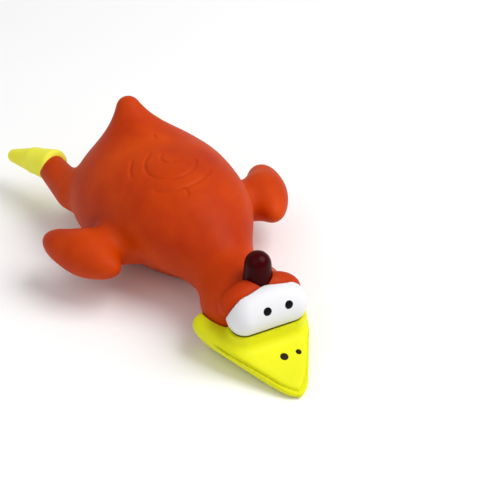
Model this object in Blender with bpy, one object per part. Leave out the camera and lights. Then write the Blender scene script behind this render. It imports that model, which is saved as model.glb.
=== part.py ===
"""Rubber chicken: a squeaking latex toy that lies on its belly.

The toy looks along +X, its left side is +Y, and it lies on the plane Z = 0. The skin is one smooth form:
a field of blended ellipsoids and round cones, turned into a mesh, and cut into zones where the rubber
flexes. A squeaker sits in the belly, and a soft filling springs the back up again after a press.
"""
import math

import bmesh
import bpy
import numpy as np
from mathutils import Matrix, Vector

# ---------------------------------------------------------------- driving dimensions, in millimetres
MM = 0.001                       # one millimetre in Blender's metres
GAP = 0.3                        # clearance between neighbouring pieces
WALL = 2.6                       # thickness of the latex wall
SKIN_STEP = 4.5                  # mesh size of the skin
CAVITY_STEP = 8.0                # mesh size of the hollow inside it
TRIM_STEP = 3.0                  # mesh size of the comb and the feet
EYE_STEP = 3.4                   # mesh size of the eye band
BEAK_STEP = 4.4                  # mesh size of the beak

# body: ellipsoids are (centre, radii), round cones are (start, end, start radius, end radius)
CHEST = ((-1.4, 0, 30.7), (40.7, 29.9, 23.3))
RUMP = ((-25.8, 0, 23.2), (34.5, 34.4, 25.1))
BELLY = ((-10.0, 0, 13.0), (32.0, 15.0, 16.0))
NECK = ((27.7, 0, 25.2), (47.6, 0, 19.2), 14.7, 13.1)
SHOULDER = ((1.5, 24.4, 22.0), (-0.5, 41.0, 22.0), 9.1, 8.8)
WING = ((-0.5, 45.0, 22.0), (20.4, 8.9, 8.3))
WING_YAW = math.radians(-22)
LEG = ((-47.7, 26.8, 20.7), (-72.2, 26.8, 22.1), 7.8, 6.2)
FOOT = ((-72.2, 26.8, 22.1), (-94.5, 34.6, 17.7), 7.6, 3.2)
TAIL = ((-32.0, 0, 37.3), (-41.8, 0, 58.1), 14.4, 5.3)

# head: these lie in the head's own frame, which is turned about a vertical line through the neck
HEAD_YAW = math.radians(-3.1)
HEAD_TURN_X = 46.0
HEAD = ((61.3, 0, 22.4), (11.6, 13.4, 10.9))
FACE = ((57.2, 0, 17.0), (12.7, 17.8, 12.0))
BROW = ((69.0, 6.75, 29.7), (5.6, 9.6, 5.8))
BROW_ROLL = math.radians(-24)
COMB = ((66.2, 0.7, 33.1), (66.0, 0.7, 41.0), 6.1, 5.3)
EYE = (73.4, 0.6, 25.2)          # middle of the eye band
EYE_DEPTH = 7.8
EYE_END = 6.9
EYE_HALF_BAR = 10.1              # half the straight length between its round ends
EYE_BOTTOM = 9.0
EYE_TOP = 9.8
EYE_DROOP = 0.52                 # share of its top that is gone 20 mm from the middle

# beak: a flat wedge with flared sides, in the head's frame
BEAK_APEX = 110.4                # where the side planes and the top plane meet
BEAK_END = 105.8
BEAK_BACK = 51.6
BEAK_HALF_ANGLE = math.radians(18.9)
BEAK_FLARE = math.radians(34.4)
BEAK_HALF_WIDTH = 29.2
BEAK_SLOPE = math.radians(19.7)
BEAK_TIP_HEIGHT = 1.55
BEAK_TOP = 18.3
BEAK_UNDER = 3.0                 # how far the wedge runs below the ground, which cuts it flat
MOUTH = ((68.0, 12.6), (101.0, 3.9))         # X and Z of two points on the mouth line

# painted dots in the head's frame: X, Y of the pair's middle, half its spread and Z, and the way it faces
PUPIL = (80.6, 1.8, 4.7, 28.9)
PUPIL_FACING = (0.93, 0.0, 0.36)
NOSTRIL = (87.0, 4.3, 3.2, 9.9)
NOSTRIL_FACING = (0.33, 0.0, 0.94)
DOT_RADIUS = 1.8
DOT_THICKNESS = 1.2

# joints: a pivot, the radius of the round seam about it, and how far the seam reaches along the axis
NECK_PIVOT = (40.0, 0.0, 20.0)
NECK_SEAM = 18.0
HEAD_PIVOT = (55.0, 0.0, 20.0)
HEAD_SEAM = 17.5
HEAD_SEAM_TOP = 37.0
WING_PIVOT = (0.0, 36.0, 22.0)
WING_SEAM = 10.4
WING_SEAM_SPAN = (-11.5, 12.0)
LEG_PIVOT = (-56.0, 26.8, 21.2)
LEG_SEAM = 8.8
LEG_INNER = 17.0
TAIL_PIVOT = (-39.2, 0.0, 52.7)
TAIL_SEAM = 12.0
TAIL_AXIS = (-0.426, 0.0, 0.905)
TAIL_HALF_SPAN = 12.5

# back panel: the part of the back that a hand presses
PRESS_CENTRE = (-1.0, 0.0)
PRESS_RADII = (21.0, 19.0)
PRESS_FLOOR = 38.0               # top of the filling under the panel, below its lowest place

# squeaker, all on one vertical line through the belly
SQUEAKER_X = -26.0
HOUSING_RADIUS = 8.0
HOUSING_WALL = 1.2
HOUSING_HEIGHT = 14.0
FLANGE_RADIUS = 10.5
FLANGE_THICKNESS = 1.2
VENT_RADIUS = 1.5
COVER_THICKNESS = 1.2
SEAT_RADIUS = 4.0
SEAT_HEIGHT = 10.0
SEAT_FLAT = 0.6                  # X of the flat that the reed lies against, from the squeaker's line
REED = (0.35, 3.4, 6.6)          # thickness, width and length of the reed
REED_ROOT = 5.0                  # height of the reed's root

# colours (linear RGB), roughness
ORANGE = ((0.50, 0.045, 0.008), 0.55)
YELLOW = ((0.85, 0.83, 0.02), 0.5)
WHITE = ((0.93, 0.93, 0.95), 0.45)
DARK_RED = ((0.075, 0.003, 0.004), 0.45)
BLACK = ((0.006, 0.004, 0.006), 0.4)
PLASTIC = ((0.80, 0.80, 0.78), 0.4)
FILLING = ((0.85, 0.84, 0.80), 0.95)


# ---------------------------------------------------------------- fields: negative inside, in millimetres
def blend(a, b, width):
    """Smooth union of two fields."""
    overlap = np.maximum(width - np.abs(a - b), 0) / width
    return np.minimum(a, b) - overlap * overlap * width / 4


def trim(a, b, width):
    """Smooth intersection of two fields."""
    return -blend(-a, -b, width)


def turned_pair(a, b, angle):
    """Two coordinates seen from axes turned by the angle."""
    return a * math.cos(angle) + b * math.sin(angle), b * math.cos(angle) - a * math.sin(angle)


def ellipsoid(points, centre, radii, yaw=0.0, roll=0.0):
    offset = points - np.array(centre)
    x, y = turned_pair(offset[..., 0], offset[..., 1], yaw)
    y, z = turned_pair(y, offset[..., 2], roll)
    scaled = np.stack([x, y, z], -1) / np.array(radii)
    near = np.linalg.norm(scaled, axis=-1)
    slope = np.linalg.norm(scaled / np.array(radii), axis=-1)
    return near * (near - 1) / np.maximum(slope, 1e-9)


def round_cone(points, start, end, start_radius, end_radius):
    start = np.array(start, float)
    axis = np.array(end, float) - start
    length = np.linalg.norm(axis)
    axis = axis / length
    offset = points - start
    along = offset @ axis
    across = np.linalg.norm(offset - along[..., None] * axis, axis=-1)
    lean = (start_radius - end_radius) / length
    upright = math.sqrt(1 - lean * lean)
    height = along * upright - across * lean
    side = across * upright + along * lean - start_radius
    at_start = np.hypot(across, along) - start_radius
    at_end = np.hypot(across, along - length) - end_radius
    return np.where(height < 0, at_start, np.where(height > length * upright, at_end, side))


def mirrored(points):
    """The same points, with both sides folded onto the left side."""
    folded = points.copy()
    folded[..., 1] = np.abs(folded[..., 1])
    return folded


def head_frame(points):
    """The points in the head's own frame."""
    x, y = turned_pair(points[..., 0] - HEAD_TURN_X, points[..., 1], HEAD_YAW)
    return np.stack([x + HEAD_TURN_X, y, points[..., 2]], -1)


def trunk_field(points):
    """Torso, neck and head, the part of the skin that is hollow."""
    torso = blend(ellipsoid(points, *CHEST), ellipsoid(points, *RUMP), 14.0)
    torso = blend(torso, ellipsoid(points, *BELLY), 8.0)
    in_head = head_frame(points)
    skull = blend(ellipsoid(in_head, *HEAD), ellipsoid(in_head, *FACE), 8.0)
    front = blend(round_cone(points, *NECK), skull, 10.0)
    return blend(torso, front, 9.1)


def skin_field(points):
    """The whole orange skin."""
    sides = mirrored(points)
    wing = blend(round_cone(sides, *SHOULDER), ellipsoid(sides, *WING, yaw=WING_YAW), 6.0)
    skin = blend(trunk_field(points), wing, 4.6)
    skin = blend(skin, round_cone(sides, *LEG), 6.9)
    skin = blend(skin, round_cone(points, *TAIL), 13.8)
    brows = head_frame(points)
    brows[..., 1] = np.sqrt(brows[..., 1] ** 2 + 4) - 2
    return blend(skin, ellipsoid(brows, *BROW, roll=BROW_ROLL), 4.0)


def cavity_field(points):
    """The hollow inside the trunk."""
    return trim(trunk_field(points) + WALL, WALL - points[..., 2], 1.0)


def foot_field(points):
    return round_cone(points, *FOOT)


def eye_field(points):
    """A bar across the face with round ends, which gets lower towards both of them."""
    in_head = head_frame(points)
    x, z = in_head[..., 0] - EYE[0], in_head[..., 2] - EYE[2]
    aside = np.abs(in_head[..., 1] - EYE[1])
    bow = (aside / 20) ** 2
    top = np.maximum(EYE_TOP * (1 - EYE_DROOP * bow), 2.0)
    past_bar = np.maximum(aside - EYE_HALF_BAR, 0)
    height = np.where(z > 0, top, EYE_BOTTOM)
    radii = np.stack([np.full(x.shape, EYE_DEPTH), np.full(x.shape, EYE_END), height], -1)
    scaled = np.stack([x, past_bar, z], -1) / radii
    near = np.linalg.norm(scaled, axis=-1)
    return near * (near - 1) / np.maximum(np.linalg.norm(scaled / radii, axis=-1), 1e-9)


def comb_field(points):
    return round_cone(head_frame(points), *COMB)


def beak_field(points):
    """A wedge with flared, rounded sides and a sloping top."""
    in_head = head_frame(points)
    x, y, z = in_head[..., 0], np.abs(in_head[..., 1]), in_head[..., 2]
    outward = (x - BEAK_APEX) * math.sin(BEAK_HALF_ANGLE) + y * math.cos(BEAK_HALF_ANGLE)
    side = outward * math.cos(BEAK_FLARE) - z * math.sin(BEAK_FLARE)
    side = trim(side, x - BEAK_END, 8.0)
    side = trim(side, y - BEAK_HALF_WIDTH, 12.0)
    side = trim(side, BEAK_BACK - x, 11.0)
    top = (z - BEAK_TIP_HEIGHT) * math.cos(BEAK_SLOPE) + (x - BEAK_APEX) * math.sin(BEAK_SLOPE)
    top = trim(top, z - BEAK_TOP, 6.0)
    return np.maximum(trim(side, top, 6.8), -BEAK_UNDER - z)


# ---------------------------------------------------------------- meshes
def to_surface(field, points):
    """Moves the points onto the field's zero surface."""
    probe = 0.05
    for _ in range(2):
        slopes = [(field(points + step) - field(points - step)) / (2 * probe) for step in np.eye(3) * probe]
        gradient = np.stack(slopes, -1)
        steepness = np.maximum((gradient ** 2).sum(-1, keepdims=True), 0.2)
        points = points - field(points)[:, None] * gradient / steepness
    return points


def polygonise(field, low, high, step):
    """Points and quads of the field's zero surface, one point in each grid cell that it crosses."""
    low = np.array(low, float)
    counts = ((np.array(high, float) - low) / step).astype(int) + 1
    axes = [low[i] + step * np.arange(counts[i]) for i in range(3)]
    inside = field(np.stack(np.meshgrid(*axes, indexing="ij"), -1)) < 0
    cells = np.zeros([count - 1 for count in counts], int)
    for i, j, k in np.ndindex(2, 2, 2):
        cells += inside[i:counts[0] - 1 + i, j:counts[1] - 1 + j, k:counts[2] - 1 + k]
    crossed = (cells > 0) & (cells < 8)
    index = np.full(crossed.shape, -1)
    index[crossed] = np.arange(crossed.sum())
    points = to_surface(field, (np.argwhere(crossed) + 0.5) * step + low)
    quads = []
    for axis in range(3):
        before = [slice(1, -1)] * 3
        after = [slice(1, -1)] * 3
        before[axis] = slice(0, -1)
        after[axis] = slice(1, None)
        starts, ends = inside[tuple(before)], inside[tuple(after)]
        edges = np.argwhere(starts != ends)
        enters = ends[tuple(edges.T)]
        cell = edges + 1
        cell[:, axis] -= 1
        first, second = (axis + 1) % 3, (axis + 2) % 3
        corners = []
        for back_first, back_second in ((1, 1), (0, 1), (0, 0), (1, 0)):
            corner = cell.copy()
            corner[:, first] -= back_first
            corner[:, second] -= back_second
            corners.append(index[tuple(corner.T)])
        loop = np.stack(corners, 1)
        loop[enters] = loop[enters][:, ::-1]
        quads.append(loop)
    return points, np.vstack(quads)


def mesh_object(name, points, faces):
    """A new object from points in millimetres."""
    mesh = bpy.data.meshes.new(name)
    mesh.from_pydata([tuple(point) for point in np.array(points) * MM], [], [tuple(face) for face in faces])
    mesh.validate()
    form = bmesh.new()
    form.from_mesh(mesh)
    bmesh.ops.recalc_face_normals(form, faces=form.faces)
    bmesh.ops.triangulate(form, faces=form.faces)
    form.to_mesh(mesh)
    form.free()
    thing = bpy.data.objects.new(name, mesh)
    bpy.context.scene.collection.objects.link(thing)
    return thing


def field_object(name, field, low, high, step):
    points, quads = polygonise(field, low, high, step)
    return mesh_object(name, points, [[int(i) for i in quad] for quad in quads])


def prism(name, outline, axes, low, high):
    """An outline in the plane of the first two axes, extruded along the third from low to high."""
    u, v, w = (np.array(axis, float) for axis in axes)
    ring = [point[0] * u + point[1] * v for point in outline]
    points = [point + w * low for point in ring] + [point + w * high for point in ring]
    count = len(ring)
    faces = [list(range(count)), list(range(2 * count - 1, count - 1, -1))]
    faces += [[i, i + count, (i + 1) % count + count, (i + 1) % count] for i in range(count)]
    return mesh_object(name, points, faces)


def box(name, low, high):
    outline = [(low[0], low[1]), (high[0], low[1]), (high[0], high[1]), (low[0], high[1])]
    return prism(name, outline, ((1, 0, 0), (0, 1, 0), (0, 0, 1)), low[2], high[2])


def ellipse(centre, radii, count=40):
    angles = [2 * math.pi * i / count for i in range(count)]
    return [(centre[0] + radii[0] * math.cos(a), centre[1] + radii[1] * math.sin(a)) for a in angles]


def turned(name, profile, x, count=24):
    """A closed profile of radius and height, turned about the vertical line at x."""
    points = []
    for i in range(count):
        angle = 2 * math.pi * i / count
        points += [(x + r * math.cos(angle), r * math.sin(angle), z) for r, z in profile]
    size = len(profile)
    faces = []
    for i in range(count):
        here, there = i * size, (i + 1) % count * size
        faces += [[here + j, there + j, there + (j + 1) % size, here + (j + 1) % size] for j in range(size)]
    return mesh_object(name, points, faces)


def copy_of(thing, name):
    twin = thing.copy()
    twin.data = thing.data.copy()
    twin.name = name
    bpy.context.scene.collection.objects.link(twin)
    return twin


def grown(thing, name, amount):
    """A copy whose skin is pushed out by an amount in millimetres."""
    twin = copy_of(thing, name)
    normals = [vertex.normal.copy() for vertex in twin.data.vertices]
    for vertex, normal in zip(twin.data.vertices, normals):
        vertex.co += normal * amount * MM
    return twin


def combine(thing, tool, operation):
    """Applies a Boolean with the tool, which stays as it is."""
    modifier = thing.modifiers.new("cut", "BOOLEAN")
    modifier.operation = operation
    modifier.solver = "EXACT"
    modifier.use_self = True
    modifier.object = tool
    bpy.context.view_layer.update()
    result = bpy.data.meshes.new_from_object(thing.evaluated_get(bpy.context.evaluated_depsgraph_get()))
    thing.modifiers.clear()
    thing.data = result


def carved(thing, keep=(), remove=()):
    """Keeps what lies inside the first tools and takes the others away."""
    for tool in keep:
        combine(thing, tool, "INTERSECT")
    for tool in remove:
        combine(thing, tool, "DIFFERENCE")
    return thing


def drop_crumbs(thing):
    """Leaves only the largest loose body of a mesh."""
    form = bmesh.new()
    form.from_mesh(thing.data)
    form.verts.ensure_lookup_table()
    unseen = set(form.verts)
    bodies = []
    while unseen:
        queue = [unseen.pop()]
        body = set(queue)
        while queue:
            for edge in queue.pop().link_edges:
                for vertex in edge.verts:
                    if vertex not in body:
                        body.add(vertex)
                        queue.append(vertex)
        unseen -= body
        bodies.append(body)
    largest = max(bodies, key=len)
    bmesh.ops.delete(form, geom=[vertex for vertex in form.verts if vertex not in largest], context="VERTS")
    form.to_mesh(thing.data)
    form.free()


# ---------------------------------------------------------------- zones of the skin
FAR = 150.0                      # past the end of everything
SEAM_SIDES = 20                  # flat sides of a seam's half circle


def seam_outline(radius, clearance):
    """A round end about the pivot, and all that lies past the pivot, opening to both sides."""
    start = math.acos(-clearance / radius)
    step = 2 * (math.pi - start) / SEAM_SIDES
    arc = [start + step * i for i in range(SEAM_SIDES + 1)]
    outline = [(radius * math.cos(angle), radius * math.sin(angle)) for angle in arc]
    return outline + [(-clearance, -FAR), (FAR, -FAR), (FAR, FAR), (-clearance, FAR)]


def seam_cutter(name, pivot, axis, outward, radius, span, clearance):
    """All that lies past the pivot, with a round end about the joint's axis towards the body."""
    side = np.cross(axis, outward)
    outline = seam_outline(radius + clearance, clearance)
    cutter = prism(name, outline, (outward, side, axis), span[0] - clearance, span[1] + clearance)
    for vertex in cutter.data.vertices:
        vertex.co += Vector(pivot) * MM
    return cutter


def neck_cutter(name, clearance):
    return seam_cutter(name, NECK_PIVOT, (0, 1, 0), (1, 0, 0), NECK_SEAM, (-FAR, FAR), clearance)


def head_cutter(name, clearance):
    span = (-FAR, HEAD_SEAM_TOP - HEAD_PIVOT[2])
    return seam_cutter(name, HEAD_PIVOT, (0, 0, 1), (1, 0, 0), HEAD_SEAM, span, clearance)


def wing_cutter(name, side, clearance):
    """The paddle, which is longer than the seam at its root, and the root itself."""
    pivot = (WING_PIVOT[0], side * WING_PIVOT[1], WING_PIVOT[2])
    cutter = seam_cutter(name, pivot, (1, 0, 0), (0, side, 0), WING_SEAM, WING_SEAM_SPAN, clearance)
    inner = WING_PIVOT[1] - clearance
    low, high = sorted((side * inner, side * (FAR - 10)))
    paddle = box(name + "_paddle", (-FAR / 2, low, -FAR / 2), (FAR / 2, high, FAR / 2))
    combine(cutter, paddle, "UNION")
    return cutter


def leg_cutter(name, side, clearance):
    pivot = (LEG_PIVOT[0], side * LEG_PIVOT[1], LEG_PIVOT[2])
    inner = LEG_PIVOT[1] - LEG_INNER
    span = (-inner, FAR) if side > 0 else (-FAR, inner)
    return seam_cutter(name, pivot, (0, 1, 0), (-1, 0, 0), LEG_SEAM, span, clearance)


def tail_cutter(name, clearance):
    span = (-TAIL_HALF_SPAN, TAIL_HALF_SPAN)
    return seam_cutter(name, TAIL_PIVOT, (0, 1, 0), TAIL_AXIS, TAIL_SEAM, span, clearance)


def press_cutter(name, clearance, floor):
    radii = (PRESS_RADII[0] + clearance, PRESS_RADII[1] + clearance)
    axes = ((1, 0, 0), (0, 1, 0), (0, 0, 1))
    return prism(name, ellipse(PRESS_CENTRE, radii), axes, floor, FAR)


def joint_cutters(clearance):
    """One cutter for each zone that moves against the torso."""
    cutters = [neck_cutter("neck_cut", clearance), tail_cutter("tail_cut", clearance)]
    for label, side in (("left", 1), ("right", -1)):
        cutters.append(wing_cutter(label + "_wing_cut", side, clearance))
        cutters.append(leg_cutter(label + "_leg_cut", side, clearance))
    return cutters


# ---------------------------------------------------------------- pieces
def make_torso(skin, cavity, ground):
    torso = carved(copy_of(skin, "torso_shell"), remove=[ground, cavity] + joint_cutters(GAP))
    hole = turned_plug("squeaker_hole", HOUSING_RADIUS + GAP, -5.0, 6.0)
    return carved(torso, remove=[press_cutter("press_cut", GAP, 30.0), hole])


def turned_plug(name, radius, low, high):
    """A plain round plug on the squeaker's line."""
    axes = ((1, 0, 0), (0, 1, 0), (0, 0, 1))
    return prism(name, ellipse((SQUEAKER_X, 0), (radius, radius), 24), axes, low, high)


def make_skin_zones(skin, cavity, ground):
    """The zones of the skin that move, each cut from the same form."""
    pieces = {}
    neck_tools = [head_cutter("head_cut", GAP), cavity, ground]
    pieces["neck"] = carved(copy_of(skin, "neck"), [neck_cutter("neck_keep", 0)], neck_tools)
    pieces["head"] = carved(copy_of(skin, "head"), [head_cutter("head_keep", 0)], [cavity, ground])
    pieces["tail"] = carved(copy_of(skin, "tail"), [tail_cutter("tail_keep", 0)])
    for label, side in (("left", 1), ("right", -1)):
        wing, leg = label + "_wing", label + "_leg"
        pieces[wing] = carved(copy_of(skin, wing), [wing_cutter(wing + "_keep", side, 0)])
        pieces[leg] = carved(copy_of(skin, leg), [leg_cutter(leg + "_keep", side, 0)])
    panel = press_cutter("panel_keep", 0, 30.0)
    pieces["back_panel"] = carved(copy_of(skin, "back_panel"), [panel], [cavity])
    return pieces


def make_feet(pieces):
    """Feet like socks over the ends of the legs."""
    feet = {}
    for label, side in (("left", 1), ("right", -1)):
        name = label + "_foot"
        low = (-101, 15 if side > 0 else -45, 8)
        high = (-60, 45 if side > 0 else -15, 36)
        foot = field_object(name, lambda points: foot_field(mirrored(points)), low, high, TRIM_STEP)
        ankle = grown(pieces[label + "_leg"], name + "_ankle", GAP)
        feet[name] = carved(foot, remove=[ankle])
    return feet


def to_world(point):
    """A point or direction of the head's frame, turned into the toy's frame."""
    turn = Matrix.Rotation(HEAD_YAW, 3, "Z")
    return turn @ Vector(point)


def dot(name, centre, facing, radius, low, high):
    """A short round plug in the head's frame; low and high are measured along the way it faces."""
    facing = Vector(facing).normalized()
    across = Vector((0, 1, 0))
    up = facing.cross(across)
    plug = prism(name, ellipse((0, 0), (radius, radius), 12), (across, up, facing), low, high)
    pivot = Vector((HEAD_TURN_X, 0, 0))
    place = pivot + to_world(Vector(centre) - pivot)
    turn = Matrix.Rotation(HEAD_YAW, 3, "Z")
    for vertex in plug.data.vertices:
        vertex.co = turn @ vertex.co + place * MM
    plug.data.update()
    return plug


def make_face(skin_grown, ground):
    """Eye band, pupils, beak, nostrils and comb."""
    face = {}
    beak = field_object("beak", beak_field, (45, -40, -6), (112, 40, 26), BEAK_STEP)
    beak_grown = grown(beak, "beak_grown", GAP)
    eyes = field_object("eye_band", eye_field, (60, -24, 14), (86, 24, 40), EYE_STEP)
    eyes_grown = grown(eyes, "eyes_grown", GAP)
    comb = field_object("comb", comb_field, (56, -12, 22), (78, 12, 50), TRIM_STEP)
    face["comb"] = carved(comb, remove=[skin_grown, eyes_grown])
    carved(eyes, remove=[skin_grown, beak_grown])
    carved(beak, remove=[skin_grown, ground])
    face["eye_band"] = eyes

    angle = math.atan2(MOUTH[1][1] - MOUTH[0][1], MOUTH[1][0] - MOUTH[0][0])
    along = (math.cos(angle), 0, math.sin(angle))
    upward = (-math.sin(angle), 0, math.cos(angle))
    level = MOUTH[0][1] * math.cos(angle) - MOUTH[0][0] * math.sin(angle)
    for name, low, high in (("upper_beak", -FAR, level), ("lower_beak", level - GAP, FAR)):
        outline = [(-FAR, -FAR), (FAR, -FAR), (FAR, FAR), (-FAR, FAR)]
        other = prism(name + "_cut", outline, (along, (0, 1, 0), upward), low, high)
        face[name] = carved(copy_of(beak, name), remove=[other])

    for label, side in (("left", 1), ("right", -1)):
        spots = (("pupil", "eye_band", PUPIL, PUPIL_FACING), ("nostril", "upper_beak", NOSTRIL, NOSTRIL_FACING))
        for kind, carrier, centre, facing in spots:
            name = label + "_" + kind
            place = (centre[0], centre[1] + side * centre[2], centre[3])
            pocket = dot(name + "_pocket", place, facing, DOT_RADIUS + GAP, -DOT_THICKNESS - GAP, 3.0)
            carved(face[carrier], remove=[pocket])
            face[name] = dot(name, place, facing, DOT_RADIUS, -DOT_THICKNESS, 0.0)
    return face


def make_squeaker():
    """The round housing in the belly, with its cover, the reed's seat and the reed."""
    outer, inner = HOUSING_RADIUS, HOUSING_RADIUS - HOUSING_WALL
    flange_low = WALL + GAP
    flange_high = flange_low + FLANGE_THICKNESS
    ceiling = HOUSING_HEIGHT - HOUSING_WALL
    profile = [(outer, GAP), (outer, flange_low), (FLANGE_RADIUS, flange_low), (FLANGE_RADIUS, flange_high),
               (outer, flange_high), (outer, HOUSING_HEIGHT), (VENT_RADIUS, HOUSING_HEIGHT),
               (VENT_RADIUS, ceiling), (inner, ceiling), (inner, GAP)]
    squeaker = {"squeaker_housing": turned("squeaker_housing", profile, SQUEAKER_X)}
    rim = inner - GAP
    cover_top = GAP + COVER_THICKNESS
    profile = [(rim, GAP), (rim, cover_top), (VENT_RADIUS, cover_top), (VENT_RADIUS, GAP)]
    squeaker["squeaker_cover"] = turned("squeaker_cover", profile, SQUEAKER_X)
    low = cover_top + GAP
    high = low + SEAT_HEIGHT
    profile = [(SEAT_RADIUS, low), (SEAT_RADIUS, high), (VENT_RADIUS, high), (VENT_RADIUS, low)]
    seat = turned("reed_seat", profile, SQUEAKER_X)
    flat = SQUEAKER_X + SEAT_FLAT
    slot = box("reed_slot", (flat, -SEAT_RADIUS - 1, REED_ROOT - 1), (flat + 10, SEAT_RADIUS + 1, high + 1))
    squeaker["reed_seat"] = carved(seat, remove=[slot])
    reed_low = (flat + GAP, -REED[1] / 2, REED_ROOT)
    reed_high = (flat + GAP + REED[0], REED[1] / 2, REED_ROOT + REED[2])
    squeaker["squeaker_reed"] = box("squeaker_reed", reed_low, reed_high)
    return squeaker


def make_stuffing(cavity):
    """The soft filling: the hollow, less the room that the moving pieces and the squeaker need."""
    filling = grown(cavity, "stuffing", -2 * GAP)
    room = turned_plug("squeaker_room", FLANGE_RADIUS + 2 * GAP, -5.0, HOUSING_HEIGHT + 1.0)
    tools = joint_cutters(2 * GAP) + [press_cutter("press_room", 1.0, PRESS_FLOOR), room]
    return carved(filling, remove=tools)


# ---------------------------------------------------------------- looks and structure
def coat(thing, look):
    colour, roughness = look
    material = bpy.data.materials.new(thing.name)
    material.use_nodes = True
    shader = material.node_tree.nodes["Principled BSDF"]
    shader.inputs["Base Color"].default_value = (*colour, 1.0)
    shader.inputs["Roughness"].default_value = roughness
    shader.inputs["Metallic"].default_value = 0.0
    thing.data.materials.clear()
    thing.data.materials.append(material)
    thing.data.shade_smooth()
    thing.data.set_sharp_from_angle(angle=math.radians(40))


def pivot_empty(name, place, parent=None):
    """An empty on a joint's axis, which carries the pieces that turn about it."""
    empty = bpy.data.objects.new(name, None)
    empty.location = Vector(place) * MM
    if parent:
        empty.parent = parent
        empty.location -= world_place(parent)
    bpy.context.scene.collection.objects.link(empty)
    return empty


def world_place(empty):
    place = Vector(empty.location)
    while empty.parent:
        empty = empty.parent
        place += empty.location
    return place


def hang(thing, empty):
    thing.parent = empty
    thing.matrix_parent_inverse = Matrix.Translation(-world_place(empty))


def looks():
    table = {name: ORANGE for name in ("torso_shell", "back_panel", "neck", "head", "tail")}
    table.update({name: YELLOW for name in ("upper_beak", "lower_beak")})
    for label in ("left", "right"):
        table.update({label + "_wing": ORANGE, label + "_leg": ORANGE, label + "_foot": YELLOW})
        table.update({label + "_pupil": BLACK, label + "_nostril": BLACK})
    table.update({name: PLASTIC for name in ("squeaker_housing", "squeaker_cover", "reed_seat", "squeaker_reed")})
    table.update({"eye_band": WHITE, "comb": DARK_RED, "stuffing": FILLING})
    return table


def assemble(pieces):
    neck = pivot_empty("neck_pivot", NECK_PIVOT)
    head = pivot_empty("head_pivot", HEAD_PIVOT, neck)
    tail = pivot_empty("tail_pivot", TAIL_PIVOT)
    back = pivot_empty("back_pivot", (*PRESS_CENTRE, CHEST[0][2] + CHEST[1][2]))
    reed = pivot_empty("reed_pivot", (SQUEAKER_X + SEAT_FLAT + GAP, 0, REED_ROOT))
    carriers = {"neck": neck, "tail": tail, "back_panel": back, "squeaker_reed": reed}
    for name in ("head", "eye_band", "upper_beak", "lower_beak", "comb"):
        carriers[name] = head
    for label, side in (("left", 1), ("right", -1)):
        carriers[label + "_pupil"] = head
        carriers[label + "_nostril"] = head
        mirror = Vector((1, side, 1))
        carriers[label + "_wing"] = pivot_empty(label + "_wing_pivot", Vector(WING_PIVOT) * mirror)
        leg = pivot_empty(label + "_leg_pivot", Vector(LEG_PIVOT) * mirror)
        carriers[label + "_leg"] = leg
        carriers[label + "_foot"] = leg
    for name, empty in carriers.items():
        hang(pieces[name], empty)


def main():
    for thing in list(bpy.data.objects):
        bpy.data.objects.remove(thing)
    skin = field_object("skin", skin_field, (-90, -64, -8), (86, 64, 74), SKIN_STEP)
    cavity = field_object("cavity", cavity_field, (-66, -40, -6), (82, 40, 62), CAVITY_STEP)
    ground = box("ground", (-FAR, -FAR, -FAR), (FAR, FAR, 0))
    skin_grown = grown(skin, "skin_grown", GAP)

    pieces = {"torso_shell": make_torso(skin, cavity, ground)}
    pieces.update(make_skin_zones(skin, cavity, ground))
    pieces.update(make_feet(pieces))
    pieces.update(make_face(skin_grown, ground))
    pieces.update(make_squeaker())
    pieces["stuffing"] = make_stuffing(cavity)

    for name, look in looks().items():
        drop_crumbs(pieces[name])
        coat(pieces[name], look)
    assemble(pieces)
    kept = set(pieces.values())
    for thing in list(bpy.data.objects):
        if thing.type == "MESH" and thing not in kept:
            bpy.data.objects.remove(thing)


main()
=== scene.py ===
"""Looks of the rubber chicken: a fine latex skin and painted face, with floor, light and camera.

Lengths in this script are millimetres until MM turns them into metres. The skin is one smooth field, the
same as the part's, made finer here. It is split where its zones flex, and only the torso's zone is hung on a
body of the frame. The face has a frame of its own, turned about a vertical line through the neck.
"""
import math

import bmesh
import bpy
import numpy as np
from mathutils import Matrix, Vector


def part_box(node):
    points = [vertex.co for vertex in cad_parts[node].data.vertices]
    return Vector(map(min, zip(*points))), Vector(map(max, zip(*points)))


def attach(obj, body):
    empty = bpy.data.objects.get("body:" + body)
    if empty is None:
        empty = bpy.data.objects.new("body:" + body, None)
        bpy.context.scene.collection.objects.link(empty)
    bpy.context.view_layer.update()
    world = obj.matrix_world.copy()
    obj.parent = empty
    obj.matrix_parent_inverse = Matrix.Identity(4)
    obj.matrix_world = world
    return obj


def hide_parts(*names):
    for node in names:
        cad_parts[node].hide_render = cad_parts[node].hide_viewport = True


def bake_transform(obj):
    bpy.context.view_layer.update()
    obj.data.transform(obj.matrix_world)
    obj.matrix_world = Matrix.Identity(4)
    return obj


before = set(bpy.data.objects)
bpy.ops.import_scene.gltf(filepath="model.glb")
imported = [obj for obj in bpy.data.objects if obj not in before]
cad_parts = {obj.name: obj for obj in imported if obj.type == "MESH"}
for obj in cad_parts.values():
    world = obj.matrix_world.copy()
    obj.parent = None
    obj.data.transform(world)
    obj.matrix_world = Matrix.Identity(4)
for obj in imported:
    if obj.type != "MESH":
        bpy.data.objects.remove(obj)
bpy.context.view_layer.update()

MM = 0.001
TINY = 1e-9

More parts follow.
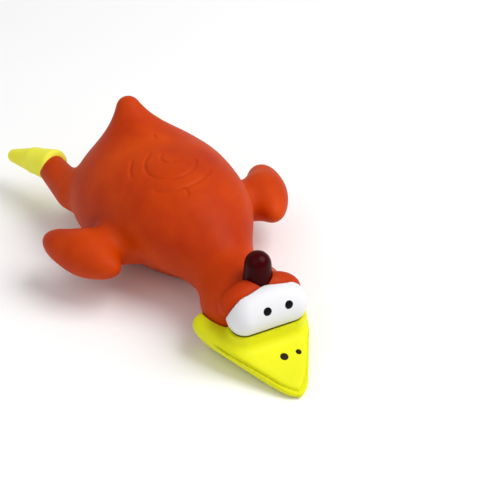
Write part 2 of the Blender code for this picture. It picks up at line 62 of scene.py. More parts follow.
# how fine each mesh is, in millimetres, and the box that it is looked for in
SKIN_STEP = 1.3
FACE_STEP = 0.8
BEAK_STEP = 0.5
EYE_STEP = 0.5
SPIRAL_CUTS = 3
SKIN_BOX = ((-90, -64, -4), (86, 64, 70))
BEAK_BOX = ((45, -36, -2), (112, 36, 26))
EYE_BOX = ((60, -24, 14), (86, 24, 40))
COMB_BOX = ((56, -12, 22), (78, 12, 50))
FOOT_BOXES = {"left": ((-101, 15, 8), (-60, 45, 36)), "right": ((-101, -45, 8), (-60, -15, 36))}
PROBE = 0.05                                       # how far to each side a slope is measured
SETTLING_ROUNDS = 2                                # steps that move a point onto its surface
LEAST_STEEPNESS = 0.2

# ---------------------------------------------------------------- sizes, in millimetres
# an ellipsoid is its centre and its radii; a round cone is its two ends and their radii
CHEST = ((-1.4, 0, 30.7), (40.7, 29.9, 23.3))
RUMP = ((-25.8, 0, 23.2), (34.5, 34.4, 25.1))
BELLY = ((-10.0, 0, 13.0), (32.0, 15.0, 16.0))
NECK = ((27.7, 0, 25.2), (47.6, 0, 19.2), 14.7, 13.1)
SHOULDER = ((1.5, 24.4, 22.0), (-0.5, 41.0, 22.0), 9.1, 8.8)
WING = ((-0.5, 45.0, 22.0), (20.4, 8.9, 8.3))
WING_YAW = math.radians(-22)
LEG = ((-47.7, 26.8, 20.7), (-72.2, 26.8, 22.1), 7.8, 6.2)
FOOT_START = (-72.2, 26.8, 22.1)
FOOT_TIP = ((-94.5, 34.6, 17.7), 3.2)              # middle, radius
TAIL = ((-32.0, 0, 37.3), (-41.8, 0, 58.1), 14.4, 5.3)

# how softly each pair of shapes runs together
RUMP_BLEND = 14.0
BELLY_BLEND = 8.0
SKULL_BLEND = 8.0
THROAT_BLEND = 10.0
NECK_BLEND = 9.1
WING_TIP_BLEND = 6.0
WING_BLEND = 4.6
LEG_BLEND = 6.9
TAIL_BLEND = 13.8
BROW_BLEND = 4.0
BELLY_EDGE = 2.0

HEAD_YAW = math.radians(-3.1)
HEAD_TURN_X = 46.0                                 # X of the line that the head is turned about
HEAD = ((61.3, 0, 22.4), (11.6, 13.4, 10.9))
FACE = ((57.2, 0, 17.0), (12.7, 17.8, 12.0))
BROW = ((69.0, 6.75, 29.7), (5.6, 9.6, 5.8))
BROW_ROLL = math.radians(-24)
BROW_FOLD = 2.0                                    # softens the valley between the two brows
COMB = ((66.2, 0.7, 33.1), (66.0, 0.7, 41.0), 6.1, 5.3)
EYE = (73.4, 0.6, 25.2)                            # middle of the bar, in the head's frame
EYE_DEPTH = 7.8
EYE_END = 6.9                                      # how far the round ends reach past the bar
EYE_HALF_BAR = 10.1
EYE_BOTTOM = 9.0
EYE_TOP = 9.8
EYE_DROOP = 0.52                                   # share of the top's height that is lost aside
EYE_BOW = 20.0                                     # how far aside the full droop is reached
EYE_LEAST_TOP = 2.0

BEAK_APEX = 110.4                                  # X at which the two flanks would meet on the floor
BEAK_END = 105.8                                   # X of the blunt tip
BEAK_BACK = 51.6
BEAK_HALF_ANGLE = math.radians(18.9)
BEAK_FLARE = math.radians(34.4)                    # lean of the flanks in the part
BEAK_UNDERCUT = math.radians(38)                   # their lean here, about the same rim
BEAK_HALF_WIDTH = 29.2
BEAK_SLOPE = math.radians(19.7)
BEAK_TIP_HEIGHT = 1.55
BEAK_TOP = 18.3
BEAK_RIM_GROWTH = 0.55                             # makes up for what the undercut takes off the rim
BEAK_ROUNDS = {"tip": 8.0, "flank": 12.0, "back": 11.0, "crown": 6.0, "rim": 6.8, "floor": 3.0}
MOUTH_START = 66.0
MOUTH_FADE = 6.0
MOUTH_FOOT = 1.5                                   # height at which the groove starts to show
MOUTH_INSET = (1.0, 2.6)                           # how far inside the flank it may run
MOUTH_SPREAD = 0.05
MOUTH_WIDTH = 0.5
MOUTH_DEPTH = 0.55

# pairs in the head's frame: X, Y of the pair's middle, half their distance and Z
PUPIL = (80.6, 1.8, 4.7, 28.9)
NOSTRIL = (87.0, 4.3, 3.2, 9.9)
PUPIL_RADIUS = 1.85
NOSTRIL_RADIUS = (1.25, 1.75)                      # left, right

DOT_RINGS = 8
DOT_SIDES = 40
DOT_LIFT = 0.22                                    # height of the paint at its middle
DOT_SINK = 0.06                                    # how far its edge lies under the surface
DOT_ROOT = 0.3                                     # how deep the drop of paint is rooted

# the curls on the back; an arc is its centre's X and Y, its radius and its first and last degree, and a tick
# is its near end, its far end and its direction in degrees
SPIRAL_CENTRE = (0.5, -2.7)
SPIRAL_ARCS = ((-2.2, -1.2, 4.0, 190, 372), (0.5, -2.7, 10.6, 198, 442), (0.5, -2.7, 16.6, 220, 260),
               (0.5, -2.7, 16.6, 304, 417))
SPIRAL_TICKS = ((18.2, 22.9, 170), (16.1, 21.5, 352))
SPIRAL_REACH = 24.5
SPIRAL_WIDTH = 0.75
SPIRAL_DEPTH = 0.5
SPIRAL_LOWEST = 40.0                               # height above which the curls start to show
SPIRAL_RISE = 4.0
SPIRAL_END = 100.0                                 # fade of an arc's ends, in degrees times millimetres

HOUSING_RADIUS = 8.0
HOLE_MARGIN = 0.3
HOLE_EDGE = 1.0
HOLE_HEADROOM = 1.0
CREASE = 0.3                                       # gap between the beak and the skin
EYE_CREASE = 0.45
CREASE_ROUND = 0.4
CUP_RIM = 18.3                                     # the cup that holds the eye band: levels and wall
CUP_FOOT = 11.5
CUP_SECTION = 0.3                                  # how far under the rim its outline is taken
CUP_WALL = 0.9
CUP_BLEND = 2.5
CUFF = ((-68.9, 25.7, 22.7), 7.6)                  # middle, radius
CUFF_EDGE = -5.2                                   # where it is cut, along the foot from its start
CUFF_ROUND = 2.5
INSTEP = ((-80.5, 29.7, 20.8), 5.9)
TOE_BLEND = 1.0


# ---------------------------------------------------------------- fields: negative inside
def blend(a, b, width):
    """Smooth union of two fields."""
    overlap = np.maximum(width - np.abs(a - b), 0) / width
    return np.minimum(a, b) - overlap * overlap * width / 4


def trim(a, b, width):
    """Smooth intersection of two fields."""
    return -blend(-a, -b, width)


def turned_pair(a, b, angle):
    """Two coordinates seen from axes turned by the angle."""
    return a * math.cos(angle) + b * math.sin(angle), b * math.cos(angle) - a * math.sin(angle)


def ellipsoid(points, centre, radii, yaw=0.0, roll=0.0):
    """An ellipsoid turned by yaw about Z, then by roll about its own length."""
    offset = points - np.array(centre)
    x, y = turned_pair(offset[..., 0], offset[..., 1], yaw)
    y, z = turned_pair(y, offset[..., 2], roll)
    scaled = np.stack([x, y, z], -1) / np.array(radii)
    near = np.linalg.norm(scaled, axis=-1)
    slope = np.linalg.norm(scaled / np.array(radii), axis=-1)
    return near * (near - 1) / np.maximum(slope, TINY)


def round_cone(points, start, end, start_radius, end_radius):
    """The hull of two balls."""
    start = np.array(start, float)
    axis = np.array(end, float) - start
    length = np.linalg.norm(axis)
    axis = axis / length
    offset = points - start
    along = offset @ axis
    across = np.linalg.norm(offset - along[..., None] * axis, axis=-1)
    lean = (start_radius - end_radius) / length
    upright = math.sqrt(1 - lean * lean)
    height = along * upright - across * lean
    side = across * upright + along * lean - start_radius
    at_start = np.hypot(across, along) - start_radius
    at_end = np.hypot(across, along - length) - end_radius
    return np.where(height < 0, at_start, np.where(height > length * upright, at_end, side))


def mirrored(points):
    """The points, all taken to the left side."""
    folded = points.copy()
    folded[..., 1] = np.abs(folded[..., 1])
    return folded


def head_frame(points):
    """The points in the head's own frame, which is turned about a vertical line through the neck."""
    x, y = turned_pair(points[..., 0] - HEAD_TURN_X, points[..., 1], HEAD_YAW)
    return np.stack([x + HEAD_TURN_X, y, points[..., 2]], -1)


def squeaker_hole(points):
    """The round pocket in the belly that the squeaker sits in."""
    low, high = (np.array(corner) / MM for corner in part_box("squeaker_housing"))
    centre = (low + high) / 2
    radius = HOUSING_RADIUS + HOLE_MARGIN
    across = np.hypot(points[..., 0] - centre[0], points[..., 1] - centre[1])
    return np.maximum(across - radius, points[..., 2] - high[2] - HOLE_HEADROOM)


def smooth_skin(points):
    """The orange skin, without its engraved line."""
    sides = mirrored(points)
    torso = blend(ellipsoid(points, *CHEST), ellipsoid(points, *RUMP), RUMP_BLEND)
    torso = blend(torso, ellipsoid(points, *BELLY), BELLY_BLEND)
    in_head = head_frame(points)
    skull = blend(ellipsoid(in_head, *HEAD), ellipsoid(in_head, *FACE), SKULL_BLEND)
    skin = blend(torso, blend(round_cone(points, *NECK), skull, THROAT_BLEND), NECK_BLEND)
    wing = blend(round_cone(sides, *SHOULDER), ellipsoid(sides, *WING, yaw=WING_YAW), WING_TIP_BLEND)
    skin = blend(skin, wing, WING_BLEND)
    skin = blend(skin, round_cone(sides, *LEG), LEG_BLEND)
    skin = blend(skin, round_cone(points, *TAIL), TAIL_BLEND)
    brows = in_head.copy()
    brows[..., 1] = np.sqrt(in_head[..., 1] ** 2 + BROW_FOLD ** 2) - BROW_FOLD
    skin = blend(skin, ellipsoid(brows, *BROW, roll=BROW_ROLL), BROW_BLEND)
    skin = trim(skin, -points[..., 2], BELLY_EDGE)
    return trim(skin, -squeaker_hole(points), HOLE_EDGE)


def spiral_groove(points):
    """Depth of the curls pressed into the back: open arcs about one middle, and two short ticks."""
    depth = np.zeros(points.shape[:-1])
    for x, y, line, first, last in SPIRAL_ARCS:
        radius = np.hypot(points[..., 0] - x, points[..., 1] - y)
        angle = np.degrees(np.arctan2(points[..., 1] - y, points[..., 0] - x))
        past_start = (angle - first) % 360
        left = (last - first) - past_start
        fade = np.clip(np.minimum(past_start, left) * line / SPIRAL_END, 0, 1)
        depth = np.maximum(depth, fade * np.exp(-((radius - line) / SPIRAL_WIDTH) ** 2))
    x, y = points[..., 0] - SPIRAL_CENTRE[0], points[..., 1] - SPIRAL_CENTRE[1]
    for near, far, way in SPIRAL_TICKS:
        along, aside = turned_pair(x, y, math.radians(way))
        fade = np.clip(np.minimum(along - near, far - along), 0, 1)
        depth = np.maximum(depth, fade * np.exp(-(aside / SPIRAL_WIDTH) ** 2))
    on_top = np.clip((points[..., 2] - SPIRAL_LOWEST) / SPIRAL_RISE, 0, 1)
    return SPIRAL_DEPTH * depth * on_top


def skin_field(points):
    return smooth_skin(points) + spiral_groove(points)


def foot_field(points):
    """A foot like a sock, cut square at the cuff where the leg goes in."""
    sides = mirrored(points)
    way = np.array(FOOT_TIP[0]) - np.array(FOOT_START)
    along = (sides - np.array(FOOT_START)) @ (way / np.linalg.norm(way))
    instep = trim(round_cone(sides, CUFF[0], INSTEP[0], CUFF[1], INSTEP[1]), CUFF_EDGE - along, CUFF_ROUND)
    toe = round_cone(sides, INSTEP[0], FOOT_TIP[0], INSTEP[1], FOOT_TIP[1])
    return blend(instep, toe, TOE_BLEND)


def eye_field(points):
    """A bar across the face with round ends, which gets lower towards both of them."""
    in_head = head_frame(points)
    x, z = in_head[..., 0] - EYE[0], in_head[..., 2] - EYE[2]
    aside = np.abs(in_head[..., 1] - EYE[1])
    bow = (aside / EYE_BOW) ** 2
    top = np.maximum(EYE_TOP * (1 - EYE_DROOP * bow), EYE_LEAST_TOP)
    past_bar = np.maximum(aside - EYE_HALF_BAR, 0)
    height = np.where(z > 0, top, EYE_BOTTOM)
    radii = np.stack([np.full(x.shape, EYE_DEPTH), np.full(x.shape, EYE_END), height], -1)
    scaled = np.stack([x, past_bar, z], -1) / radii
    near = np.linalg.norm(scaled, axis=-1)
    return near * (near - 1) / np.maximum(np.linalg.norm(scaled / radii, axis=-1), TINY)


def bare_eye_field(points):
    """The eye band, less the skin and a thin crease around it."""
    return trim(eye_field(points), EYE_CREASE - smooth_skin(points), CREASE_ROUND)


def comb_field(points):
    return round_cone(head_frame(points), *COMB)


def beak_field(points):
    """A flat beak, wider at its rim than at the floor, with the mouth's groove just inside the rim."""
    in_head = head_frame(points)
    x, y, z = in_head[..., 0], np.abs(in_head[..., 1]), in_head[..., 2]
    outward = (x - BEAK_APEX) * math.sin(BEAK_HALF_ANGLE) + y * math.cos(BEAK_HALF_ANGLE)
    rim = np.minimum(BEAK_TIP_HEIGHT + (BEAK_APEX - x) * math.tan(BEAK_SLOPE), BEAK_TOP)
    outward = outward + rim * (math.tan(BEAK_UNDERCUT) - math.tan(BEAK_FLARE)) - BEAK_RIM_GROWTH
    side = outward * math.cos(BEAK_UNDERCUT) - z * math.sin(BEAK_UNDERCUT)
    side = trim(side, x - BEAK_END, BEAK_ROUNDS["tip"])
    side = trim(side, y - BEAK_HALF_WIDTH, BEAK_ROUNDS["flank"])
    side = trim(side, BEAK_BACK - x, BEAK_ROUNDS["back"])
    top = (z - BEAK_TIP_HEIGHT) * math.cos(BEAK_SLOPE) + (x - BEAK_APEX) * math.sin(BEAK_SLOPE)
    top = trim(top, z - BEAK_TOP, BEAK_ROUNDS["crown"])
    beak = trim(trim(side, top, BEAK_ROUNDS["rim"]), -z, BEAK_ROUNDS["floor"])
    inset = np.clip(MOUTH_INSET[0] + MOUTH_SPREAD * (x - MOUTH_START), *MOUTH_INSET)
    groove = np.exp(-((side + inset) / MOUTH_WIDTH) ** 2)
    shown = np.clip((x - MOUTH_START) / MOUTH_FADE, 0, 1) * np.clip((z - MOUTH_FOOT) / MOUTH_FOOT, 0, 1)
    return beak + MOUTH_DEPTH * groove * shown


def bare_beak_field(points):
    """The beak with the low cup that holds the eye band, less a crease around the eyes and the skin."""
    raised = points.copy()
    raised[..., 2] = np.maximum(points[..., 2], CUP_RIM - CUP_SECTION)
    cup = np.maximum(eye_field(raised) - EYE_CREASE - CUP_WALL, points[..., 2] - CUP_RIM)
    cup = np.maximum(cup, CUP_FOOT - points[..., 2])
    beak = blend(beak_field(points), cup, CUP_BLEND)
    beak = trim(beak, CREASE - smooth_skin(points), CREASE_ROUND)
    return trim(beak, EYE_CREASE - eye_field(points), CREASE_ROUND)


# ---------------------------------------------------------------- meshes
def gradient_of(field, points):
    steps = np.eye(3) * PROBE
    return np.stack([(field(points + step) - field(points - step)) / (2 * PROBE) for step in steps], -1)


def to_surface(field, points):
    """Moves the points onto the field's zero surface."""
    for _ in range(SETTLING_ROUNDS):
        gradient = gradient_of(field, points)
        steepness = np.maximum((gradient ** 2).sum(-1, keepdims=True), LEAST_STEEPNESS)
        points = points - field(points)[:, None] * gradient / steepness
    return points


def polygonise(field, low, high, step):
    """Points and quads of the field's zero surface, one point in each grid cell that it crosses."""
    low = np.array(low, float)
    counts = ((np.array(high, float) - low) / step).astype(int) + 1
    axes = [low[i] + step * np.arange(counts[i]) for i in range(3)]
    inside = field(np.stack(np.meshgrid(*axes, indexing="ij"), -1)) < 0
    cells = np.zeros([count - 1 for count in counts], int)
    for i, j, k in np.ndindex(2, 2, 2):
        cells += inside[i:counts[0] - 1 + i, j:counts[1] - 1 + j, k:counts[2] - 1 + k]
    crossed = (cells > 0) & (cells < 8)
    index = np.full(crossed.shape, -1)
    index[crossed] = np.arange(crossed.sum())
    points = to_surface(field, (np.argwhere(crossed) + 0.5) * step + low)
    quads = []
    for axis in range(3):
        before = [slice(1, -1)] * 3
        after = [slice(1, -1)] * 3
        before[axis] = slice(0, -1)
        after[axis] = slice(1, None)
        starts, ends = inside[tuple(before)], inside[tuple(after)]
        edges = np.argwhere(starts != ends)
        enters = ends[tuple(edges.T)]
        cell = edges + 1
        cell[:, axis] -= 1
        first, second = (axis + 1) % 3, (axis + 2) % 3
        corners = []
        for back_first, back_second in ((1, 1), (0, 1), (0, 0), (1, 0)):
            corner = cell.copy()
            corner[:, first] -= back_first
            corner[:, second] -= back_second
            corners.append(index[tuple(corner.T)])
        loop = np.stack(corners, 1)
        loop[enters] = loop[enters][:, ::-1]
        quads.append(loop)
    return points, np.vstack(quads)


def link_object(name, data):
    """A new object in the scene that shows the data."""
    thing = bpy.data.objects.new(name, data)
    bpy.context.scene.collection.objects.link(thing)
    return thing


def smooth_mesh(name, field, points, faces):
    """An object from points in millimetres, shaded by the field's slope, so that split zones look whole."""
    mesh = bpy.data.meshes.new(name)
    mesh.from_pydata([tuple(point) for point in points * MM], [], faces)
    normals = gradient_of(field, points)
    normals /= np.maximum(np.linalg.norm(normals, axis=-1, keepdims=True), TINY)
    mesh.shade_smooth()
    mesh.normals_split_custom_set_from_vertices([tuple(normal) for normal in normals])
    return link_object(name, mesh)


def field_object(name, field, box, step):
    """An object of the field's whole surface inside the box."""
    points, quads = polygonise(field, *box, step)
    return smooth_mesh(name, field, points, [[int(i) for i in quad] for quad in quads])


def split_off(name, field, points, faces, chosen):
    """An object from the chosen faces of a larger mesh."""
    kept = [face for face, wanted in zip(faces, chosen) if wanted]
    used = sorted({index for face in kept for index in face})
    renumber = {old: new for new, old in enumerate(used)}
    own_faces = [[renumber[index] for index in face] for face in kept]
    return smooth_mesh(name, field, points[used], own_faces)


def refine_spiral(points, quads):
    """Smaller faces where the spiral line runs."""
    form = bmesh.new()
    for point in points:
        form.verts.new(point)
    form.verts.ensure_lookup_table()
    for quad in quads:
        form.faces.new([form.verts[int(i)] for i in quad])
    centre = Vector((*SPIRAL_CENTRE, 0))
    near = set()
    for face in form.faces:
        middle = face.calc_center_median()
        if middle.z > SPIRAL_LOWEST and (middle.xy - centre.xy).length < SPIRAL_REACH:
            near.update(face.edges)
    bmesh.ops.subdivide_edges(form, edges=list(near), cuts=SPIRAL_CUTS, use_grid_fill=True)
    form.verts.index_update()
    new_points = np.array([vertex.co for vertex in form.verts], float)
    faces = [[vertex.index for vertex in face.verts] for face in form.faces]
    form.free()
    count = len(points)
    new_points[:count] = points
    new_points[count:] = to_surface(skin_field, new_points[count:])
    return new_points, faces


# ---------------------------------------------------------------- node helpers
class Nodes:
    """A small helper that builds one material's node tree."""

    def __init__(self, name):
        self.material = bpy.data.materials.new(name)
        self.material.use_nodes = True
        self.tree = self.material.node_tree
        self.shader = self.tree.nodes["Principled BSDF"]
        self.position = self.add("ShaderNodeTexCoord").outputs["Object"]

    def add(self, kind):
        return self.tree.nodes.new(kind)

    def link(self, output, node, socket):
        self.tree.links.new(output, node.inputs[socket])

    def noise(self, scale, detail=3.0, roughness=0.5):
        node = self.add("ShaderNodeTexNoise")
        self.link(self.position, node, "Vector")
        node.inputs["Scale"].default_value = scale
        node.inputs["Detail"].default_value = detail
        node.inputs["Roughness"].default_value = roughness
        return node.outputs["Fac"]

    def ramp(self, value, stops):
        node = self.add("ShaderNodeValToRGB")
        self.link(value, node, "Fac")
        elements = node.color_ramp.elements
        while len(elements) < len(stops):
            elements.new(0.5)
        for element, (place, colour) in zip(elements, stops):
            element.position = place
            element.color = (*colour, 1.0)
        return node.outputs["Color"]

    def span(self, value, low, high):
        node = self.add("ShaderNodeMapRange")
        self.link(value, node, "Value")
        node.inputs["To Min"].default_value = low
        node.inputs["To Max"].default_value = high
        return node.outputs["Result"]

    def bump(self, height, distance, strength, below=None):
        node = self.add("ShaderNodeBump")
        self.link(height, node, "Height")
        node.inputs["Distance"].default_value = distance
        node.inputs["Strength"].default_value = strength
        if below:
            self.link(below, node, "Normal")
        return node.outputs["Normal"]

    def finish(self, colour, roughness, normal):
        self.link(colour, self.shader, "Base Color")
        self.link(roughness, self.shader, "Roughness")
        self.link(normal, self.shader, "Normal")
        return self.material


# the latex: noise scales per metre, bump heights in metres, and where its dark, middle and light tones lie
CLOUD_SCALE = 38.0
SHEEN_SCALE = 160.0
WAVE_SCALE = 120.0
WAVE_HEIGHT = 0.0006
WAVE_STRENGTH = 0.12
GRAIN_SCALE = 1500.0
GRAIN_HEIGHT = 0.0001
GRAIN_STRENGTH = WAVE_STRENGTH * 1.6
TONE_PLACES = (0.3, 0.5, 0.72)


def latex(name, dark, middle, light, rough=(0.45, 0.6), index=1.2):
    """Painted latex: soft clouds of tone, a fine grain, and a sheen that varies a little."""
    nodes = Nodes(name)
    clouds = nodes.noise(CLOUD_SCALE, 4.0, 0.55)
    colour = nodes.ramp(clouds, list(zip(TONE_PLACES, (dark, middle, light))))
    roughness = nodes.span(nodes.noise(SHEEN_SCALE, 3.0), *rough)
    waves = nodes.bump(nodes.noise(WAVE_SCALE, 2.0), WAVE_HEIGHT, WAVE_STRENGTH)
    normal = nodes.bump(nodes.noise(GRAIN_SCALE, 3.0, 0.6), GRAIN_HEIGHT, GRAIN_STRENGTH, waves)
    nodes.shader.inputs["IOR"].default_value = index
    return nodes.finish(colour, roughness, normal)


def coat_with(thing, material):
    thing.data.materials.clear()
    thing.data.materials.append(material)


# ---------------------------------------------------------------- the skin and its zones
# each zone has a direction that it is measured along; its span runs from where the zone starts to where it
# follows its second body fully
TAIL_WAY = np.array([-0.426, 0, 0.905])
LEG_WAY = np.array([-0.594, 0.805, 0])
BACK_WAY = np.array([0.15, 0, 0.989])
TAIL_SPAN = (59.1, 68.0)
LEG_SPAN = (49.4, 60.0)
WING_SPAN = (33.3, 42.0)
NECK_SPAN = (26.0, 40.0)
HEAD_SPAN = (40.5, 52.0)
BACK_SPAN = (51.4, 53.9)
WING_REAR = -14.0
WING_TIP_START = 5.0
WING_TIP_REAR = -30.0
WING_FRONT = 40.0
BACK_REAR = -20.0


def zone_of(points):
    """The name of the zone that each point lies in."""
    x, y = points[:, 0], points[:, 1]
    legs = np.where(y > 0, "left_leg", "right_leg").astype(object)
    wings = np.where(y > 0, "left_wing", "right_wing").astype(object)
    names = np.full(len(points), "torso", dtype=object)
    on_back = (points @ BACK_WAY > BACK_SPAN[0]) & (x > BACK_REAR)
    names[on_back] = "back"
    names[x > NECK_SPAN[0]] = "neck"
    names[x > HEAD_SPAN[0]] = "head"
    on_leg = (mirrored(points) @ LEG_WAY > LEG_SPAN[0]) & (x < 0)
    names[on_leg] = legs[on_leg]
    beside_body = (np.abs(y) > WING_SPAN[0]) & (x > WING_REAR)
    at_wing_tip = (np.abs(y) > WING_SPAN[0] + WING_TIP_START) & (x > WING_TIP_REAR)
    on_wing = (beside_body | at_wing_tip) & (x < WING_FRONT)
    names[on_wing] = wings[on_wing]
    names[points @ TAIL_WAY > TAIL_SPAN[0]] = "tail"
    return names


def bend(thing, way):
    """Bakes the zone's transform into its mesh."""
    way = Vector(way) / Vector(way).length_squared * MM
    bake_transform(thing)


def make_skin(material):
    points, quads = polygonise(skin_field, *SKIN_BOX, SKIN_STEP)
    points, faces = refine_spiral(points, quads)
    middles = np.array([points[face].mean(0) for face in faces])
    zones = zone_of(middles)
    stands_for = {"torso": "torso_shell", "back": "back_panel"}
    skin = {}
    for zone in sorted(set(zones)):
        piece = split_off(zone + "_skin", skin_field, points, faces, zones == zone)
        coat_with(piece, material)
        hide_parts(stands_for.get(zone, zone))
        skin[zone] = piece
    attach(skin["torso"], "torso")
    bend(skin["back"], BACK_WAY)
    bend(skin["neck"], (1, 0, 0))
    bend(skin["head"], (1, 0, 0))
    bend(skin["tail"], TAIL_WAY)
    for label, side in (("left", 1), ("right", -1)):
        bend(skin[label + "_wing"], (0, side, 0))
        leg_way = LEG_WAY * np.array([1, side, 1])
        bend(skin[label + "_leg"], leg_way)


def make_feet(material):
    for label, box in FOOT_BOXES.items():
        foot = field_object(label + "_foot_cover", foot_field, box, FACE_STEP)
        coat_with(foot, material)
        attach(foot, label + "_leg_section")
        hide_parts(label + "_foot")


# ---------------------------------------------------------------- the face
def head_part(name, field, box, step, material, slot, *nodes):
    part = field_object(name, field, box, step)
    coat_with(part, material)
    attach(part, "head_section")
    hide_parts(*nodes)


def from_head(point):
    """A point of the head's frame in the toy's frame."""
    x, y = point[0] - HEAD_TURN_X, point[1]
    cosine, sine = math.cos(HEAD_YAW), math.sin(HEAD_YAW)
    return np.array([HEAD_TURN_X + x * cosine - y * sine, y * cosine + x * sine, point[2]])


def drop_faces(rings, sides):
    """Faces of a cap of rings about a middle point, with a wall to one more ring and a flat underside."""
    faces = [[0, 1 + step, 1 + (step + 1) % sides] for step in range(sides)]
    for ring in range(rings):
        low = 1 + ring * sides
        for step in range(sides):
            there = (step + 1) % sides
            faces.append([low + step, low + sides + step, low + sides + there, low + there])
    base = 1 + rings * sides
    faces.append([base + step for step in range(sides)][::-1])
    return faces


def painted_dot(name, field, centre, radius, material, node):
    """A thin round drop of paint that follows the surface under it."""
    centre = to_surface(field, from_head(centre)[None])[0]
    normal = gradient_of(field, centre[None])[0]
    normal /= np.linalg.norm(normal)
    across = np.cross(normal, (0, 0, 1))
    across /= np.linalg.norm(across)
    up = np.cross(across, normal)
    rings, sides = DOT_RINGS, DOT_SIDES
    flat = [centre]
    for ring in range(1, rings + 1):
        for step in range(sides):
            angle = 2 * math.pi * step / sides
            reach = radius * ring / rings
            flat.append(centre + reach * (math.cos(angle) * across + math.sin(angle) * up))
    grounded = to_surface(field, np.array(flat))
    share = np.repeat(np.arange(rings + 1) / rings, [1] + [sides] * rings)
    slope = gradient_of(field, grounded)
    slope /= np.linalg.norm(slope, axis=-1, keepdims=True)
    height = DOT_LIFT * np.sqrt(np.maximum(1 - share ** 4, 0)) - DOT_SINK * share
    top = grounded + slope * height[:, None]
    under = grounded[-sides:] - slope[-sides:] * DOT_ROOT
    points = np.vstack([top, under]) * MM
    mesh = bpy.data.meshes.new(name)
    mesh.from_pydata([tuple(point) for point in points], [], drop_faces(rings, sides))
    form = bmesh.new()
    form.from_mesh(mesh)
    bmesh.ops.recalc_face_normals(form, faces=form.faces)
    form.to_mesh(mesh)
    form.free()
    mesh.shade_smooth()
    dot = link_object(name, mesh)
    coat_with(dot, material)
    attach(dot, "head_section")
    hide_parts(node)


def make_face(materials):
    head_part("beak", bare_beak_field, BEAK_BOX, BEAK_STEP, materials["beak"],
              "yellow_latex", "upper_beak", "lower_beak")
    head_part("eyes", bare_eye_field, EYE_BOX, EYE_STEP, materials["white"], "white_latex", "eye_band")
    head_part("crest", comb_field, COMB_BOX, FACE_STEP, materials["comb"], "dark_red_latex", "comb")
    for label, side, reach in (("left", 1, NOSTRIL_RADIUS[0]), ("right", -1, NOSTRIL_RADIUS[1])):
        pupil = (PUPIL[0], PUPIL[1] + side * PUPIL[2], PUPIL[3])
        painted_dot(label + "_pupil_paint", eye_field, pupil, PUPIL_RADIUS,
                    materials["black"], label + "_pupil")
        nostril = (NOSTRIL[0], NOSTRIL[1] + side * NOSTRIL[2], NOSTRIL[3])
        painted_dot(label + "_nostril_paint", beak_field, nostril, reach,
                    materials["brown"], label + "_nostril")


# ---------------------------------------------------------------- materials
def moulded_plastic(name, colour):
    nodes = Nodes(name)
    tone = nodes.ramp(nodes.noise(90.0), [(0.3, tuple(0.93 * c for c in colour)), (0.7, colour)])
    roughness = nodes.span(nodes.noise(300.0), 0.28, 0.42)
    normal = nodes.bump(nodes.noise(900.0), 0.0001, 0.15)
    return nodes.finish(tone, roughness, normal)


def fluffy_fibre(name):
    nodes = Nodes(name)
    tone = nodes.ramp(nodes.noise(220.0, 6.0, 0.7), [(0.25, (0.6, 0.59, 0.55)), (0.7, (0.9, 0.89, 0.86))])
    roughness = nodes.span(nodes.noise(100.0), 0.85, 1.0)
    normal = nodes.bump(nodes.noise(420.0, 6.0, 0.7), 0.002, 0.9)
    return nodes.finish(tone, roughness, normal)


# each latex: its dark, middle and light tone
orange = latex("orange_latex", (0.42, 0.026, 0.0), (0.50, 0.040, 0.0), (0.59, 0.058, 0.0004))
yellow = latex("yellow_latex", (0.68, 0.68, 0.003), (0.72, 0.72, 0.005), (0.76, 0.76, 0.008), index=1.25)
pale_yellow = latex("foot_latex", (0.84, 0.81, 0.03), (0.87, 0.85, 0.08), (0.90, 0.88, 0.20))
white = latex("white_latex", (0.72, 0.72, 0.75), (0.75, 0.75, 0.77), (0.78, 0.78, 0.79),
              rough=(0.36, 0.46), index=1.3)
comb_red = latex("dark_red_latex", (0.032, 0.0, 0.0003), (0.045, 0.0001, 0.0008), (0.06, 0.0003, 0.0014),
                 rough=(0.22, 0.28), index=1.15)
black = latex("black_paint", (0.001, 0.001, 0.0015), (0.002, 0.0015, 0.003), (0.003, 0.002, 0.004),
              rough=(0.3, 0.36))
brown = latex("nostril_paint", (0.012, 0.005, 0.0), (0.018, 0.008, 0.0005), (0.024, 0.011, 0.001))

make_skin(orange)
make_feet(pale_yellow)
make_face({"beak": yellow, "white": white, "comb": comb_red, "black": black, "brown": brown})

plastic = moulded_plastic("squeaker_plastic", (0.80, 0.80, 0.78))
for node in ("squeaker_housing", "squeaker_cover", "reed_seat", "squeaker_reed"):
    coat_with(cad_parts[node], plastic)
coat_with(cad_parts["stuffing"], fluffy_fibre("filling"))


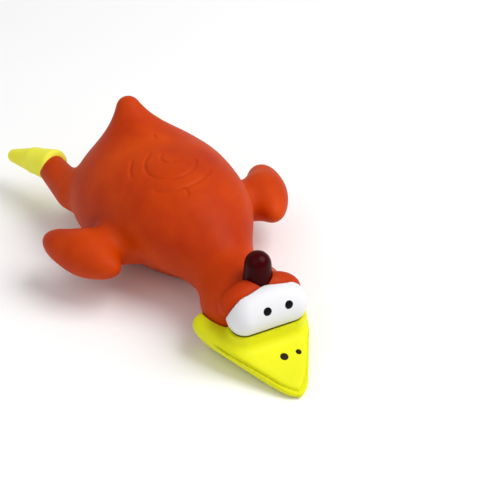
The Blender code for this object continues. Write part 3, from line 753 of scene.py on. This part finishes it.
# ---------------------------------------------------------------- floor, light and camera
# in metres; each light is its name, place, size and power in watts
FLOOR_REACH = 6.0
LIT_POINT = (0.01, 0.0, 0.02)
LIGHTS = (("key", (0.55, 0.55, 1.1), 0.9, 14.0), ("fill", (0.4, -0.8, 1.0), 1.2, 2.5))
WORLD_STRENGTH = 0.5
# in millimetres
CAMERA_PLACE = Vector((433.35, -227.26, 348.65))
CAMERA_TARGET = Vector((12.88, 28.39, 5.36))
LENS = 99.1
SENSOR = 36.0


def make_floor():
    nodes = Nodes("floor")
    tone = nodes.ramp(nodes.noise(3.0), [(0.3, (0.92, 0.92, 0.92)), (0.7, (0.95, 0.95, 0.95))])
    roughness = nodes.span(nodes.noise(30.0), 0.75, 0.9)
    material = nodes.finish(tone, roughness, nodes.bump(nodes.noise(200.0), 0.0002, 0.1))
    mesh = bpy.data.meshes.new("floor")
    corners = [(x * FLOOR_REACH, y * FLOOR_REACH, 0) for x, y in ((-1, -1), (1, -1), (1, 1), (-1, 1))]
    mesh.from_pydata(corners, [], [(0, 1, 2, 3)])
    floor = link_object("floor", mesh)
    coat_with(floor, material)


def aim(thing, target):
    direction = Vector(target) - thing.location
    thing.rotation_euler = direction.to_track_quat("-Z", "Y").to_euler()


def add_light(name, place, size, power):
    data = bpy.data.lights.new(name, "AREA")
    data.size = size
    data.energy = power
    light = link_object(name, data)
    light.location = place
    aim(light, LIT_POINT)


def make_light():
    for light in LIGHTS:
        add_light(*light)
    world = bpy.context.scene.world or bpy.data.worlds.new("studio")
    bpy.context.scene.world = world
    world.use_nodes = True
    background = world.node_tree.nodes["Background"]
    background.inputs["Color"].default_value = (1.0, 1.0, 1.0, 1.0)
    background.inputs["Strength"].default_value = WORLD_STRENGTH


def make_camera():
    data = bpy.data.cameras.new("camera")
    data.sensor_width = SENSOR
    data.lens = LENS
    camera = link_object("camera", data)
    camera.location = CAMERA_PLACE * MM
    aim(camera, CAMERA_TARGET * MM)
    bpy.context.scene.camera = camera


make_floor()
make_light()
make_camera()
bpy.context.scene.view_settings.view_transform = "Standard"
